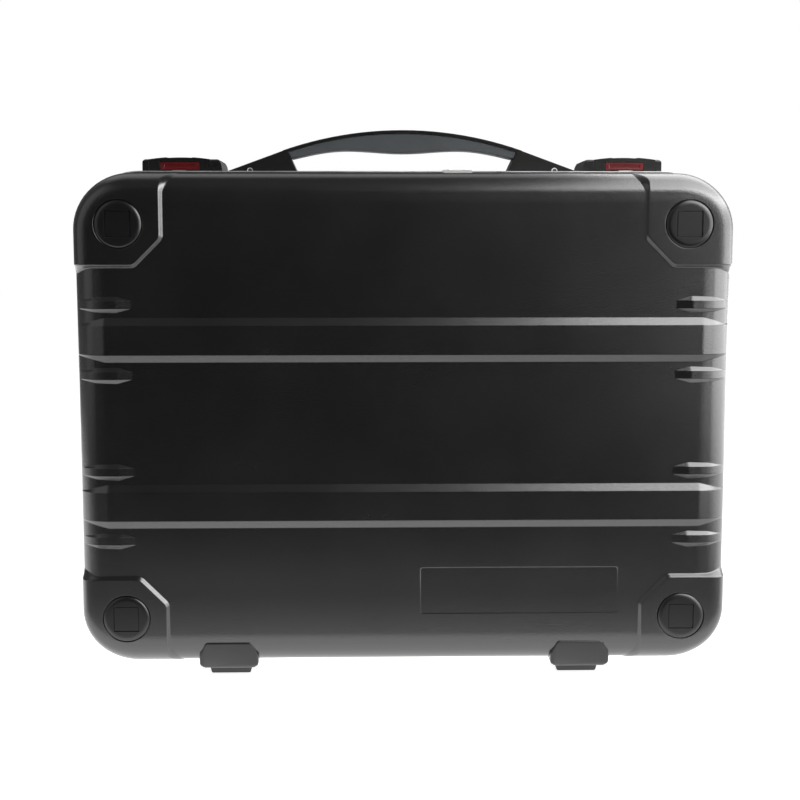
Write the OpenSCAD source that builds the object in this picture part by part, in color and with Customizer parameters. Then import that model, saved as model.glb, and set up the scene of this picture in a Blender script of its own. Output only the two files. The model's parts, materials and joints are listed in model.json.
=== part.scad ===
// Transport case with two moulded half shells, aluminium mating rims, two draw latches and a fold-back handle.
// Millimetres. X is the width, Y the depth (the lid faces -Y), Z the height. Z = 0 is the underside of the feet.

/* [Case] */
// Width of the plain shell between its side walls
case_w = 465; // [430:5:500]
// Height of the plain shell between its bottom and top walls
case_h = 351.5; // [330:0.5:400]
// Depth of the lid shell, from the parting plane to its plain face
lid_d = 57; // [52:1:80]
// Depth of the base shell, from the parting plane to its plain face
base_d = 87; // [80:1:140]
// Outline radius of the shells' corners
corner_r = 40; // [34:1:46]
// Radius between a shell's face and its walls
edge_r = 14; // [11:1:16]
// Wall thickness of the shells
wall = 3.4; // [2.8:0.2:4.2]

/* [Relief] */
// How far the corner guards stand off the plain shell
guard_h = 2.5; // [1.5:0.1:3]
// Reach of a corner guard along the width
guard_x = 60.9; // [56:0.1:68]
// Reach of a corner guard along the height
guard_z = 63.2; // [60:0.1:72]
// How far the cross bands stand off the face
band_h = 2.6; // [1.5:0.1:3]
// Width of a cross band's flat
band_w = 20.8; // [16:0.4:24]
// Distance of each cross band from the middle of the face
band_z = 59.5; // [54:0.5:62]
// Diameter of the rubber corner pads
pad_d = 33; // [28:0.5:36]

/* [Rims and feet] */
// How far the aluminium rims stand off the plain walls
rim_proud = 3; // [2.8:0.1:3.4]
// Depth of each rim along Y
rim_d = 10; // [9.5:0.1:10.4]
// Height of the rubber feet
foot_h = 8.2; // [8:0.1:10]

/* [Latches] */
// Distance of each latch's middle from the side wall
latch_in = 68.5; // [66:0.5:76]
// Width of the latch lever
lever_w = 45; // [42:0.5:48]

/* [Handle] */
// Height of the handle's crown above the top wall
handle_top = 34; // [32:0.5:40]
// Depth of the handle along Y
handle_d = 24; // [20:1:26]

/* [Hidden] */
$fn = 96;

// colours
shell_c = [0.13, 0.13, 0.13];
black_c = [0.07, 0.07, 0.07];
alu_c = [0.82, 0.83, 0.84];
steel_c = [0.62, 0.63, 0.65];
rubber_c = [0.09, 0.09, 0.1];
red_c = [0.72, 0.08, 0.08];
grip_c = [0.42, 0.45, 0.48];

// general clearances
part_gap = 0.15;      // each rim face to the parting plane
seat = 0.1;           // between pieces that are pushed into one another
run_gap = 0.3;        // between pieces that move past each other
through = 1;          // how far a cut runs past the face that it opens

// levels
rim_under = 1.6;      // rim above the hinge leaves
shell_z = foot_h + rim_under + rim_proud;
top_z = shell_z + case_h;
mid_z = shell_z + case_h/2;
block_drop = rim_under + rim_proud;
pad_proud = 1.2;
part_y = (lid_d - base_d)/2;

// rims
shell_v = 6;          // the shells start here in the rims' channel
lip_in = 2.4;         // inner lip of the rim
tongue_h = 2.2;       // the base rim's tongue, past the parting plane
tongue_t = 2.2;
tongue_in = 0.6;
groove_h = 4.35;
seal_t = 1.8;

// relief
guard_side = 0.4;     // guards proud of the side walls and the bottom wall
guard_top = 0.3;      // guards proud of the top wall
guard_c = 18.5;       // guards' 45 degree corner
guard_b = 3;          // width of a guard's flank on the flat
guard_k = 0.5;        // slope of the flanks where they run round to the walls
face_drop = 0.75;     // the relief sits this much below the middle
band_b = 5.4;         // width of a band's bevel on the flat
band_fade = 21;       // the bands fade out over this width
rib_z = 25;           // short ribs, from the middle of a band
rib_h = 2.2;
rib_w = 5.6;
rib_b = 3;
rib_full = 29;        // ribs are highest here, from the side wall
rib_end = 40;
rib_start = 2;        // ribs rise from nothing here
rib_fast = 14;        // and are nearly full here
rib_part = 0.8;
sink = 0.8;           // how deep the relief is rooted in the wall
pad_x = 32.9;         // pads, from the guards' outer faces
pad_z = 35.2;
pad_deep = 2.2;
pad_gap = 0.6;
plate_x = 82.7;       // recess for a name plate
plate_w = 143.4;
plate_h = 34.6;
plate_z = 53;
plate_deep = 0.8;
plate_r = 2.2;

// foot blocks and feet
block_x = 127.6;
block_w = 42.8;
block_top_w = 33;
block_bevel = 9;      // height of the block's sloping shoulders
block_r = 4.4;          // its round lower corners
block_up = 14.2;      // top edge of the block on the face
block_proud = 0.4;
block_slope = 2.4;    // how far the block's front falls back towards its foot
foot_w = 32.2;
foot_w2 = 29;
foot_back = 18;       // front of a foot, from the plain face
foot_v = 20.5;
peg_r = 3;
peg_h = 4;

// hinges
hinge_r = 3.2;
hinge_z = foot_h - hinge_r + 0.1;
hinge_w = 40;
pin_r = 1.5;
pin_run = 0.06;
pin_fix = 0.02;
knuckle = 13.6;
knuckle_gap = 0.4;
leaf_t = 1.8;
leaf_v0 = 4;
leaf_v1 = 19.5;
rivet_v = 14.5;
rivet_r = 1.6;
rivet_head_r = 2.8;
rivet_head_h = 1;
rivet_l = 5;

// ledge on the base's top for latches and handle
ledge_h = 1;
ledge_x = 203;
ledge_end = 20;

// latches, u from the parting plane, w from the top wall
rim_top = rim_proud;
latch_x = case_w/2 - latch_in;
floor_t = 1.6;
cheek_t = 4.6;
cheek_r = 2.6;        // round outer corner of the outer cheek
cheek_u = 0.8;
latch_u = 47;
cheek_w = rim_top + 8.9;
cheek_w2 = rim_top + 7.7;
cheek_w0 = rim_top + run_gap;
slope_l = 3.6;
slot_half = lever_w/2 + run_gap;
crown = 1.7;
lever_w0 = rim_top + 0.6;
lever_u = 44.6;
lever_t = 2;
lever_pin_u = 41;
lever_pin_w = rim_top + 4;
lever_r = 3.6;
lever_back = 6.6;     // height of the lever's tail over its pin
lever_solid = 36;
lever_tall = 12;      // the crown cuts the lever lower than this
notch_x = 10;
strike_x = 9.6;
strike_u = 0.8;
strike_t = 1.6;
strike_w0 = 0.8;
strike_floor = 0.5;
strike_top = 2.4;
strike_hole_x = 7.7;
strike_hole_u = 4.3;
strike_hole_r = 1;
lid_notch = 6.2;
claw_x = 5;
claw_w0 = 2.7;
claw_t = 1.1;
claw_tip = 1.6;
claw_end = 34;
claw_rivets = [20, 29];
claw_rivet_r = 1.5;
claw_u = 4.8;
claw_back = 15;
claw_plate = 1.7;
button_x = 14.2;
button_w0 = lever_w0 + 0.6;
button_w1 = rim_top + 6.8;
button_dish = 3;      // rim round the thumb recess
button_u = 1.2;
button_back = 9;
button_run = 3;
button_gap = 0.25;
scoop = 1.2;
scoop_r = 60;
flange_x = 16.5;

// handle
handle_u = 12.5;
handle_gap = 2;     // between the handle's tips and the latches
handle_x = latch_x - slot_half - cheek_t - slope_l - handle_gap;
wedge_x = handle_x - 43.6;
wedge_w = handle_top - 14.4;
wedge_in = handle_x - 53.3;
wedge_w0 = ledge_h + 0.4;
wedge_tip = 2.1;      // height of a wedge's outer end
wedge_nose = 3.3;     // the inner edge ends this much below the strip
strip_t = 2.2;
strip_root = 1.6;     // the strip reaches this far into the wedge ends
arch_s = handle_top - wedge_w;
arch_r = (pow(wedge_x, 2) + pow(arch_s, 2)) / (2*arch_s);
grip_end = wedge_x - 4.7;
grip_mid = wedge_x/2 - 2.35;
grip_low = handle_top - 21.1;
grip_high = handle_top - 14.8;
grip_dip = 1.95;
grip_in = 1;
pivot_u = handle_u + handle_d - 3;
pivot_w = 7;
pivot_r = 5;
pivot_l = 12;         // half length of a handle pin
ear_x = handle_x - 38;
ear_w = 7.4;
ear_screw = 8;        // screws to each side of an ear
ear_r = 4.2;
slot_w = 8;
slot_u = pivot_u - pivot_r - 0.2;
bracket_u0 = pivot_u + 4.8;
bracket_u1 = pivot_u + 16.5;
bracket_w = 24;
bracket_t = 1.6;
hrivet_x = handle_x - 17.5;
hrivet_w = 4.2;
hrivet_r = 2.2;
hrivet_shank = 1.4;
hrivet_l = 7.5;
screw_r = 1.9;
screw_head = 3.4;
screw_l = 6;

// placing: local x, y (height from the middle), z (depth from the parting plane)
module lid_place() translate([0, part_y, mid_z]) rotate([90, 0, 0]) children();
module base_place() translate([0, part_y, mid_z]) mirror([0, 1, 0]) rotate([90, 0, 0]) children();
// placing on the top wall: x, u back from the parting plane, w up from the top wall
module top_place() translate([0, part_y, top_z]) children();
module along_y(a, b) translate([0, b, 0]) rotate([90, 0, 0]) linear_extrude(b - a) children();
module along_x(a, b) translate([a, 0, 0]) rotate([90, 0, 90]) linear_extrude(b - a) children();
module both() { children(); mirror([1, 0, 0]) children(); }

// outline with round corners
module outline(w, h, r) {
  square([w - 2*r, h], center = true);
  square([w, h - 2*r], center = true);
  for (i = [-1, 1], j = [-1, 1]) translate([i*(w/2 - r), j*(h/2 - r)]) circle(r);
}
module ring(grow, shrink) difference() {
  outline(case_w + 2*grow, case_h + 2*grow, corner_r + grow);
  outline(case_w - 2*shrink, case_h - 2*shrink, corner_r - shrink);
}

// half profile of a shell, from v0 to d, rounded by r, reaching x
module half_profile(x, v0, d, r) {
  translate([0, v0]) square([x, d - r - v0]);
  translate([0, v0]) square([x - r, d - v0]);
  translate([x - r, d - r]) circle(r);
}
module full_profile(x, v0, d, r) {
  half_profile(x, v0, d, r);
  mirror([1, 0]) half_profile(x, v0, d, r);
}
// closed body with round edges, from v0 to d, corners cr and edges er
module slab(w, h, cr, er, v0, d) union() {
  union() {
    rotate([90, 0, 90]) translate([0, 0, -w/2 + cr]) linear_extrude(w - 2*cr)
      full_profile(h/2, v0, d, er);
    translate([0, h/2 - cr, 0]) rotate([90, 0, 0]) linear_extrude(h - 2*cr)
      full_profile(w/2, v0, d, er);
  }
  for (k = [0:3])
    translate([((k == 0 || k == 3) ? 1 : -1)*(w/2 - cr), (k < 2 ? 1 : -1)*(h/2 - cr), 0])
      rotate([0, 0, 90*k]) rotate_extrude(angle = 90) half_profile(cr, v0, d, er);
}
// the plain shell's body, grown on all sides
module pillow(grow, v0, d)
  slab(case_w + 2*grow, case_h + 2*grow, corner_r + grow, edge_r + grow, v0, d);

// a guard's plan at the upper right, its two inner sides spread by tx and ty
function guard_plan(tx, ty) = let (
    xi = case_w/2 + guard_side - guard_x - tx,
    yi = case_h/2 + guard_side - guard_z - ty,
    c = guard_c + (tx + ty)*(1 - sqrt(1/2)),
    xo = case_w/2 + guard_h + 4,
    yo = case_h/2 + guard_h + 4
  ) [[xi, yo], [xi, yi + c], [xi + c, yi], [xo, yi], [xo, yo]];
function lift(plan, v) = [for (p = plan) [p[0], p[1], v]];
// solid through rings of equal length, first ring lowest, rings running anticlockwise
module loft(rings) {
  n = len(rings[0]);
  m = len(rings);
  polyhedron(
    points = [for (q = rings) for (p = q) p],
    faces = concat(
      [[for (i = [0:n - 1]) i]],
      [for (k = [0:m - 2]) for (i = [0:n - 1])
        [k*n + i, (k + 1)*n + i, (k + 1)*n + (i + 1)%n, k*n + (i + 1)%n]],
      [[for (i = [0:n - 1]) m*n - 1 - i]]));
}
// where a guard's flanks run: steep on the face, spreading slowly towards the walls
module guard_region(d) {
  t = guard_b + guard_k*edge_r;
  loft([lift(guard_plan(t, t), rim_d + run_gap),
        lift(guard_plan(t, t), d - edge_r),
        lift(guard_plan(guard_b, guard_b), d),
        lift(guard_plan(-guard_b*0.4, -guard_b*0.4), d + guard_h*1.4)]);
}
module guards(d) intersection() {
  translate([0, (guard_top - guard_side)/2, 0])
    slab(case_w + 2*guard_side, case_h + guard_top + guard_side, corner_r, edge_r,
      rim_d + run_gap, d + guard_h);
  translate([0, -face_drop, 0])
    for (i = [0, 1], j = [0, 1]) mirror([i, 0, 0]) mirror([0, j, 0]) guard_region(d);
}

// the plain face and wall at s from the side wall: [x, v, normal x, normal v]
function face_at(s, d) =
  s <= 0 ? [case_w/2, d - edge_r + s, 1, 0] :
  s < edge_r ? let (a = acos((edge_r - s)/edge_r)) [case_w/2 - s,
    d - edge_r + edge_r*sin(a), cos(a), sin(a)] :
  [case_w/2 - s, d, 0, 1];
// cross section of a ridge: height h, half flat a, bevel b per unit of height
function ridge_cut(s, side, d, h, a, k) = let (
    f = face_at(s, d), x0 = side*(f[0] - f[2]*sink), v0 = f[1] - f[3]*sink,
    x1 = side*(f[0] + f[2]*h), v1 = f[1] + f[3]*h, o = a + k*(h + sink)
  ) [[x0, -o, v0], [x1, -a, v1], [x1, a, v1], [x0, o, v0]];
module ridge(cuts) {
  m = len(cuts);
  polyhedron(
    points = [for (q = cuts) for (p = q) p],
    faces = concat(
      [[3, 2, 1, 0]],
      [for (k = [0:m - 2]) for (i = [0:3]) for (t = [0, 1]) t == 0 ?
        [k*4 + i, k*4 + (i + 1)%4, (k + 1)*4 + (i + 1)%4] :
        [k*4 + i, (k + 1)*4 + (i + 1)%4, (k + 1)*4 + i]],
      [[for (i = [0:3]) (m - 1)*4 + i]]));
}
band_s = [0, 1, 3, 6, 10, 14, band_fade];
function band_rise(s) = s == 0 ? -0.3 : band_h*min(1, s/band_fade);
module band(d) ridge(concat(
  [for (s = band_s) ridge_cut(s, -1, d, band_rise(s), band_w/2, band_b/band_h)],
  [for (i = [1:len(band_s)]) let (s = band_s[len(band_s) - i])
    ridge_cut(s, 1, d, band_rise(s), band_w/2, band_b/band_h)]));
rib_s = [0, rib_start, 5, 9, rib_fast, 21, rib_full, (rib_full + rib_end)/2, rib_end];
function rib_rise(s) = s <= 0 ? -0.3 :
  s <= rib_fast ? rib_h*rib_part*max(0, s - rib_start)/(rib_fast - rib_start) :
  s <= rib_full ? rib_h*(rib_part + (1 - rib_part)*(s - rib_fast)/(rib_full - rib_fast)) :
  rib_h*(rib_end - s)/(rib_end - rib_full) - 0.02;
module rib(d) both() ridge(
  [for (s = rib_s) ridge_cut(s, -1, d, rib_rise(s), rib_w/2, rib_b/rib_h)]);

// foot block under a shell: a flat front with sloping shoulders and round lower corners
block_turn = [0:15:90];
module block_shape(d) intersection() {
  translate([-block_w/2 - 4, 0, 0]) rotate([90, 0, 90]) linear_extrude(block_w + 8)
    polygon([[-case_h/2 - block_drop, rim_d + run_gap],
      [-case_h/2 - block_drop, d - block_slope - 2],
      [-case_h/2 - block_drop + 2, d + block_proud - block_slope],
      [-case_h/2 + block_up, d + block_proud],
      [-case_h/2 + block_up + 1.2, d - 1.5], [-case_h/2 + 2, d - edge_r],
      [-case_h/2 + 2, rim_d + run_gap]]);
  linear_extrude(d + 5) polygon(concat(
    [for (a = block_turn) [block_w/2 - block_r + block_r*sin(a),
      -case_h/2 - block_drop + block_r - block_r*cos(a)]],
    [[block_w/2, -case_h/2 + block_up - block_bevel],
     [block_top_w/2, -case_h/2 + block_up + 2], [-block_top_w/2, -case_h/2 + block_up + 2],
     [-block_w/2, -case_h/2 + block_up - block_bevel]],
    [for (a = block_turn) [-block_w/2 + block_r - block_r*cos(a),
      -case_h/2 - block_drop + block_r - block_r*sin(a)]]));
}
foot_pegs = [0.25, 0.75];
function foot_end(d) = d - foot_back;
function peg_v(d, f) = foot_v + (foot_end(d) - foot_v)*f;
module block_holes(d) {
  for (f = foot_pegs) translate([0, -case_h/2 - block_drop, peg_v(d, f)]) rotate([-90, 0, 0])
    translate([0, 0, -through]) cylinder(r = peg_r + seat, h = peg_h + seat + through);
  for (i = [-1, 1]) translate([i*hinge_w/4, -case_h/2 - block_drop, rivet_v]) rotate([-90, 0, 0])
    translate([0, 0, -through]) cylinder(r = rivet_r + pin_fix, h = rivet_l + seat + through);
}

// one half shell: moulded relief outside, plain inside
module half_shell(d) difference() {
  union() {
    union() {
      pillow(0, shell_v, d);
      guards(d);
    }
    for (j = [-1, 1]) translate([0, j*band_z - face_drop, 0]) {
      band(d);
      for (k = [-1, 1]) translate([0, k*rib_z, 0]) rib(d);
    }
    both() translate([block_x, 0, 0]) block_shape(d);
    children();
  }
  pillow(-wall, shell_v - through, d - wall);
  for (i = [-1, 1], j = [-1, 1])
    translate([i*(case_w/2 + guard_side - pad_x),
      j*(case_h/2 + guard_side - pad_z) - face_drop, d + guard_h - pad_deep])
        cylinder(d = pad_d + 2*pad_gap, h = 10);
  both() translate([block_x, 0, 0]) block_holes(d);
}
module pads(d) for (i = [-1, 1], j = [-1, 1])
  translate([i*(case_w/2 + guard_side - pad_x),
    j*(case_h/2 + guard_side - pad_z) - face_drop, d + guard_h - pad_deep]) pad();
pad_e = 1.4;
pad_t = pad_deep + pad_proud;
pad_mark = 18.4;      // bare square recess in a pad
pad_mark_deep = 0.5;
module pad() difference() {
  rotate_extrude() {
    square([pad_d/2, pad_t - pad_e]);
    square([pad_d/2 - pad_e, pad_t]);
    translate([pad_d/2 - pad_e, pad_t - pad_e]) circle(pad_e);
  }
  translate([0, 0, pad_t - pad_mark_deep]) linear_extrude(pad_mark_deep + through)
    outline(pad_mark, pad_mark, 0.8);
}
module feet(d) both() translate([block_x, 0, 0]) {
  translate([0, -case_h/2 - block_drop, foot_v]) linear_extrude(foot_end(d) - foot_v)
    polygon([[-foot_w/2, 0], [-foot_w2/2, -foot_h + 0.8], [-foot_w2/2 + 0.8, -foot_h],
      [foot_w2/2 - 0.8, -foot_h], [foot_w2/2, -foot_h + 0.8], [foot_w/2, 0]]);
  for (f = foot_pegs) translate([0, -case_h/2 - block_drop, peg_v(d, f)]) rotate([-90, 0, 0])
    translate([0, 0, -1]) cylinder(r = peg_r, h = peg_h + 1);
}

module lid_shell() color(shell_c) lid_place() difference() {
  half_shell(lid_d);
  translate([plate_x, -case_h/2 + plate_z, lid_d - plate_deep]) linear_extrude(5)
    outline(plate_w, plate_h, plate_r);
}
module base_shell() color(shell_c) difference() {
  base_place() half_shell(base_d) ledge();
  top_place() {
    both() translate([latch_x, 0, 0]) latch_screw_at() translate([0, 0, -10])
      cylinder(r = screw_r + pin_fix, h = 30);
    both() handle_screw_at() translate([0, 0, -10]) cylinder(r = screw_r + pin_fix, h = 30);
  }
}
module ledge() translate([0, case_h/2, rim_d + run_gap])
  linear_extrude(base_d - ledge_end - rim_d) polygon([[-ledge_x - 3, -6], [-ledge_x, ledge_h],
    [ledge_x, ledge_h], [ledge_x + 3, -6]]);

// rims
module rim_section() difference() {
  translate([0, 0, part_gap]) linear_extrude(rim_d - part_gap) ring(rim_proud, wall + lip_in);
  translate([0, 0, shell_v]) linear_extrude(rim_d) ring(seat, wall + seat);
}
module notch(a, b, w0) top_place() both() translate([latch_x - notch_x, a, w0])
  cube([2*notch_x, b - a, rim_proud + 2]);
module lid_rim() color(alu_c) difference() {
  lid_place() difference() {
    rim_section();
    translate([0, 0, -through]) linear_extrude(groove_h + through) ring(0, wall);
  }
  notch(-lid_notch, through, strike_w0);
  top_place() both() translate([latch_x, 0, 0]) strike_rivet_at()
    translate([0, 0, -2]) cylinder(r = strike_hole_r + pin_fix, h = 8);
}
module base_rim() color(alu_c) difference() {
  base_place() union() {
    rim_section();
    translate([0, 0, -tongue_h]) linear_extrude(tongue_h + part_gap + 1)
      ring(-tongue_in, tongue_in + tongue_t);
  }
  notch(-through, rim_d + through, strike_w0);
}
module rim_seal() color(rubber_c) lid_place()
  translate([0, 0, groove_h - seal_t]) linear_extrude(seal_t) ring(-seat, wall - seat);
clip_x = 39.7;
clip_w = 21;
clip_t = 0.9;
module clip() {
  translate([clip_x - clip_w/2, 0.5, rim_top]) cube([clip_w, rim_d - 0.5 + clip_t, clip_t]);
  translate([clip_x - clip_w/2, rim_d, rim_top - 1.6]) cube([clip_w, clip_t, 2]);
  for (i = [-1, 1]) translate([clip_x + i*6, rim_d/2, rim_top]) cylinder(r = 1.6, h = clip_t + 0.5);
}
module base_rim_clip() color(alu_c) top_place() clip();
module lid_rim_clip() color(alu_c) top_place() mirror([0, 1, 0]) clip();

// pads and feet
module lid_pads() color(rubber_c) lid_place() pads(lid_d);
module base_pads() color(rubber_c) base_place() pads(base_d);
module lid_feet() color(rubber_c) lid_place() feet(lid_d);
module base_feet() color(rubber_c) base_place() feet(base_d);

// hinges under the foot blocks
module hinge_place() both() translate([block_x, part_y, hinge_z]) children();
module knuckle_tube(a, b) difference() {
  along_x(a, b) circle(hinge_r);
  along_x(a - through, b + through) circle(pin_r + pin_run);
}
leaf_z = foot_h - hinge_z - leaf_t;
module leaf(side, parts) difference() {
  union() {
    translate([-hinge_w/2, side > 0 ? leaf_v0 : -leaf_v1, leaf_z])
      cube([hinge_w, leaf_v1 - leaf_v0, leaf_t]);
    for (q = parts) {
      translate([q[0], side > 0 ? 0 : -leaf_v0 - 1, leaf_z]) cube([q[1] - q[0], leaf_v0 + 1, leaf_t]);
      along_x(q[0], q[1]) circle(hinge_r);
    }
  }
  along_x(-hinge_w/2 - through, hinge_w/2 + through) circle(pin_r + pin_run);
  for (i = [-1, 1]) translate([i*hinge_w/4, side*rivet_v, leaf_z - through])
    cylinder(r = rivet_r + pin_fix, h = leaf_t + 2*through);
}
module hinge_lid_leaves() color(steel_c) hinge_place()
  leaf(-1, [[-knuckle/2, knuckle/2]]);
module hinge_base_leaves() color(steel_c) hinge_place()
  leaf(1, [[-hinge_w/2, -knuckle/2 - knuckle_gap], [knuckle/2 + knuckle_gap, hinge_w/2]]);
module hinge_pins() color(steel_c) hinge_place() {
  along_x(-hinge_w/2 - 1, hinge_w/2 + 1) circle(pin_r);
  for (i = [-1, 1]) along_x(i*(hinge_w/2 + 1) - 0.7, i*(hinge_w/2 + 1) + 0.7) circle(pin_r + 0.7);
}
module leaf_rivets(side) hinge_place() for (i = [-1, 1])
  translate([i*hinge_w/4, side*rivet_v, leaf_z]) {
    cylinder(r = rivet_r, h = leaf_t + rivet_l);
    translate([0, 0, -rivet_head_h]) cylinder(r1 = rivet_head_r - 0.6, r2 = rivet_head_r, h = rivet_head_h);
  }
module hinge_lid_rivets() color(steel_c) leaf_rivets(-1);
module hinge_base_rivets() color(steel_c) leaf_rivets(1);

// strikes in the lid rim
module strike_rivet_at() for (i = [-1, 1])
  translate([i*strike_hole_x, -strike_hole_u, strike_w0]) children();
module strikes() color(steel_c) top_place() both() translate([latch_x, 0, 0]) difference() {
  along_x(-strike_x, strike_x) polygon([[-lid_notch + 0.2, strike_w0], [-strike_u, strike_w0],
    [-strike_u, strike_top], [-strike_u - strike_t, strike_top],
    [-strike_u - strike_t, strike_w0 + strike_floor], [-lid_notch + 0.2, strike_w0 + strike_floor]]);
  strike_rivet_at() translate([0, 0, -1]) cylinder(r = strike_hole_r + pin_fix, h = 4);
}
module strike_rivets() color(steel_c) top_place() both() translate([latch_x, 0, 0])
  strike_rivet_at() {
    translate([0, 0, -0.6]) cylinder(r = strike_hole_r, h = 0.6 + strike_floor);
    translate([0, 0, strike_floor]) cylinder(r = strike_hole_r + 0.6, h = 0.4);
  }

// latches, drawn for the right side
latch_screw_x = 13;
latch_screw_u = [22, 33];
module latch_screw_at() for (i = [-1, 1], u = latch_screw_u)
  translate([i*latch_screw_x, u, ledge_h]) children();
module latch_plate() difference() {
  union() {
    translate([-slot_half - 1, rim_d + 0.6, ledge_h])
      cube([2*slot_half + 2, latch_u - rim_d - 0.6, floor_t]);
    intersection() {
      along_x(-slot_half - cheek_t - slope_l, slot_half + cheek_t) cheek();
      along_y(cheek_u - through, latch_u + through) plate_front();
    }
  }
  along_x(-slot_half - cheek_t, slot_half + cheek_t + 1)
    translate([lever_pin_u, lever_pin_w]) circle(pin_r + pin_fix);
  translate([-notch_x, 0, 0]) cube([2*notch_x, claw_back + 2, lever_tall]);
  latch_screw_at() {
    translate([0, 0, -5]) cylinder(r = screw_r + pin_fix, h = 20);
    cylinder(r1 = screw_r + pin_fix, r2 = screw_head + pin_fix, h = floor_t);
  }
}
module cheek() {
  polygon([[cheek_u, cheek_w0], [rim_d + 0.6, cheek_w0], [rim_d + 0.6, ledge_h],
    [latch_u, ledge_h], [latch_u, cheek_w2 - 3], [latch_u - 3, cheek_w2],
    [cheek_u + 1.2, cheek_w], [cheek_u, cheek_w - 1.2]]);
}
// both cheeks from the front: a round outer corner, and a rounded fall to the rim towards the handle
cheek_turn = [0:10:90];
module plate_front() {
  polygon(concat([[slot_half, 0], [slot_half + cheek_t, 0]],
    [for (a = cheek_turn) [slot_half + cheek_t - cheek_r + cheek_r*cos(a),
      cheek_w - cheek_r + cheek_r*sin(a)]], [[slot_half, cheek_w]]));
  polygon(concat([[-slot_half, 0], [-slot_half, cheek_w]],
    [for (a = cheek_turn) [-slot_half - cheek_t - slope_l*sin(a),
      cheek_w0 + (cheek_w - cheek_w0)*cos(a)]],
    [[-slot_half - cheek_t - slope_l, 0]]));
}
module lever_side() {
  translate([cheek_u, lever_w0]) square([lever_pin_u - cheek_u, lever_tall]);
  translate([lever_pin_u, lever_pin_w]) circle(lever_r);
  translate([lever_pin_u, lever_pin_w]) square([lever_u - lever_pin_u, lever_back]);
}
crown_r = (pow(lever_w/2, 2) + pow(crown, 2)) / (2*crown);
crown_w = cheek_w + crown - crown_r;
module lever_front() intersection() {
  translate([-lever_w/2, 0]) square([lever_w, 40]);
  translate([0, crown_w]) circle(crown_r, $fn = 240);
}
module latch_lever() difference() {
  intersection() {
    along_y(cheek_u, lever_u) lever_front();
    along_x(-lever_w/2, lever_w/2) lever_side();
  }
  difference() {
    translate([-lever_w/2 + lever_t, cheek_u + lever_t, 0])
      cube([lever_w - 2*lever_t, lever_solid - cheek_u - lever_t, cheek_w - lever_t]);
  }
  translate([-button_x - button_gap, -1, 0])
    cube([2*(button_x + button_gap), button_back + button_run + 2, button_w1 + button_gap]);
  along_x(-60, 60) translate([lever_pin_u, lever_pin_w]) circle(pin_r + pin_run);
  along_y(cheek_u - 1, 9) translate([0, cheek_w + crown - scoop + scoop_r])
    circle(scoop_r, $fn = 240);
  for (u = claw_rivets) translate([0, u, lever_w0]) cylinder(r = claw_rivet_r + pin_fix,
    h = cheek_w - lever_t + 1.2 - lever_w0);
}
module latch_claw() {
  difference() {
    along_x(-claw_x, claw_x) polygon([
      [-claw_u, claw_tip], [-claw_u + 2, claw_tip], [-claw_u + 2, claw_w0],
      [claw_back, claw_w0], [claw_back, cheek_w - lever_t - claw_plate],
      [claw_end, cheek_w - lever_t - claw_plate], [claw_end, cheek_w - lever_t],
      [claw_back - claw_plate, cheek_w - lever_t], [claw_back - claw_plate, claw_w0 + claw_t],
      [-claw_u + 0.5, claw_w0 + claw_t], [-claw_u, claw_w0 + claw_t - 0.5]]);
  }
  for (u = claw_rivets) translate([0, u, cheek_w - lever_t - claw_plate - 0.8]) {
    cylinder(r = claw_rivet_r + 1.1, h = 0.8);
    cylinder(r = claw_rivet_r, h = claw_plate + 0.8 + 1);
  }
}
module latch_button() difference() {
  union() {
    translate([-button_x, button_u, button_w0]) cube([2*button_x, button_back - button_u,
      button_w1 - button_w0]);
    translate([-flange_x, cheek_u + lever_t + run_gap, button_w0])
      cube([2*flange_x, 1.6, cheek_w - lever_t - run_gap - button_w0]);
  }
  translate([-button_x + button_dish, button_u - 1, button_w0 + button_dish/2])
    cube([2*(button_x - button_dish), 1.6, button_w1 - button_w0 - button_dish]);
}
module latch_plate_right() color(black_c) top_place() translate([latch_x, 0, 0]) latch_plate();
module latch_plate_left() color(black_c) mirror([1, 0, 0]) top_place()
  translate([latch_x, 0, 0]) latch_plate();
module latch_lever_right() color(black_c) top_place() translate([latch_x, 0, 0]) latch_lever();
module latch_lever_left() color(black_c) mirror([1, 0, 0]) top_place()
  translate([latch_x, 0, 0]) latch_lever();
module latch_claw_right() color(steel_c) top_place() translate([latch_x, 0, 0]) latch_claw();
module latch_claw_left() color(steel_c) mirror([1, 0, 0]) top_place()
  translate([latch_x, 0, 0]) latch_claw();
module latch_button_right() color(red_c) top_place() translate([latch_x, 0, 0]) latch_button();
module latch_button_left() color(red_c) mirror([1, 0, 0]) top_place()
  translate([latch_x, 0, 0]) latch_button();
module latch_pins() color(steel_c) top_place() both() translate([latch_x, 0, 0])
  along_x(-slot_half - cheek_t + 0.8, slot_half + cheek_t - 0.8)
    translate([lever_pin_u, lever_pin_w]) circle(pin_r);
module csk_screw(t) {
  translate([0, 0, -screw_l]) cylinder(r = screw_r, h = screw_l + t);
  translate([0, 0, 0]) cylinder(r1 = screw_r, r2 = screw_head, h = t);
}
module latch_screws() color(steel_c) top_place() both() translate([latch_x, 0, 0])
  latch_screw_at() csk_screw(floor_t);

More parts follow.
